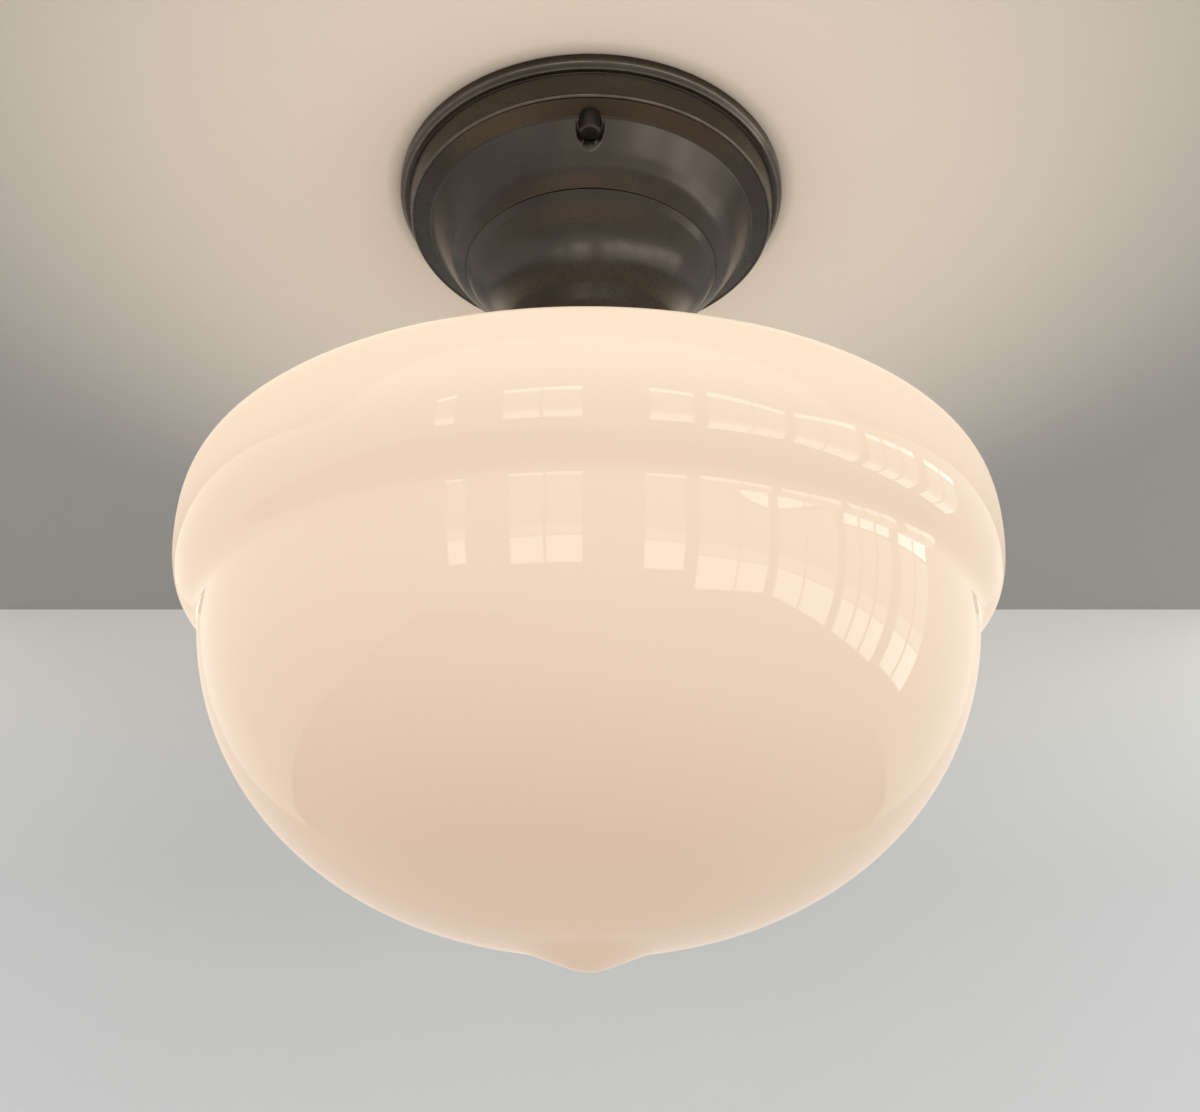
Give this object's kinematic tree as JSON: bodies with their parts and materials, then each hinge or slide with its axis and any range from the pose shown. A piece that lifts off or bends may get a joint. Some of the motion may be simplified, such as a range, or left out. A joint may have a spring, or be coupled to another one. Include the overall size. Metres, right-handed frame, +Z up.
{
  "type": "ceiling light",
  "caption": "Semi-flush schoolhouse ceiling light: a stepped bronze canopy and neck carry an opal glass globe, with a lamp, lampholder and mounting crossbar inside.",
  "frame": {"origin": "on the ceiling surface, on the light's vertical axis, at the centre of the crossbar's box slots", "axes": "+Z up into the ceiling, +Y along the crossbar, away from the viewer of the picture, +X to the viewer's right"},
  "size_m": [0.3, 0.3, 0.3228],
  "materials": {
    "bronze": "satin oil-rubbed bronze",
    "opal_glass": "glossy opal glass, lit",
    "zinc_steel": "zinc plated",
    "green_steel": "green dyed zinc",
    "copper": "bare copper",
    "black_insulation": "satin",
    "white_insulation": "satin",
    "connector_plastic": "moulded",
    "porcelain": "glazed",
    "brass": "plain",
    "nickel": "nickel plated",
    "lamp_insulator": "vitrified",
    "lamp_glass": "frosted",
    "clear_glass": "clear",
    "tungsten": "drawn wire"
  },
  "bodies": {
    "fixture": {"canopy": "bronze", "fitter": "bronze", "crossbar": "zinc_steel", "canopy_studs": "zinc_steel", "jam_nuts": "zinc_steel", "ground_screw": "green_steel", "ground_wire": "copper", "nipple": "zinc_steel", "lock_washer": "zinc_steel", "upper_locknut": "zinc_steel", "lower_locknut": "zinc_steel", "socket_locknut": "zinc_steel", "socket_bracket": "zinc_steel", "bracket_screws": "zinc_steel", "socket_body": "porcelain", "socket_shell": "brass", "socket_contact": "brass", "terminal_screws": "brass", "lead_hot": "black_insulation", "lead_neutral": "white_insulation", "wire_connectors": "connector_plastic"},
    "glass": {"globe_lip": "opal_glass", "globe_neck": "opal_glass", "globe_cap": "opal_glass", "globe_bowl": "opal_glass", "globe_foot": "opal_glass"},
    "lamp": {"bulb_envelope": "lamp_glass", "bulb_base": "nickel", "bulb_insulator": "lamp_insulator", "bulb_tip": "brass", "bulb_stem": "clear_glass", "bulb_filament": "tungsten"},
    "thumbscrew_1": {"thumbscrew_1": "bronze"},
    "thumbscrew_2": {"thumbscrew_2": "bronze"},
    "thumbscrew_3": {"thumbscrew_3": "bronze"},
    "cap_nut_front": {"cap_nut_front": "bronze"},
    "cap_nut_back": {"cap_nut_back": "bronze"}
  },
  "joints": [
    {"name": "globe_drop", "type": "slide", "parent": "fixture", "child": "glass", "axis": [0, 0, -1], "range_m": [0, 0.2]},
    {"name": "lamp_unscrew", "type": "slide", "parent": "fixture", "child": "lamp", "axis": [0, 0, -1], "range_m": [0, 0.032]},
    {"name": "thumbscrew_1_travel", "type": "slide", "parent": "fixture", "child": "thumbscrew_1", "axis": [0.866, 0.5, 0], "range_m": [-0.0024, 0.006]},
    {"name": "thumbscrew_2_travel", "type": "slide", "parent": "fixture", "child": "thumbscrew_2", "axis": [-0.866, 0.5, 0], "range_m": [-0.0024, 0.006]},
    {"name": "thumbscrew_3_travel", "type": "slide", "parent": "fixture", "child": "thumbscrew_3", "axis": [0, -1, 0], "range_m": [-0.0024, 0.006]},
    {"name": "cap_nut_front_unscrew", "type": "slide", "parent": "fixture", "child": "cap_nut_front", "axis": [0, 0, -1], "range_m": [0, 0.012]},
    {"name": "cap_nut_back_unscrew", "type": "slide", "parent": "fixture", "child": "cap_nut_back", "axis": [0, 0, -1], "range_m": [0, 0.012]}
  ]
}
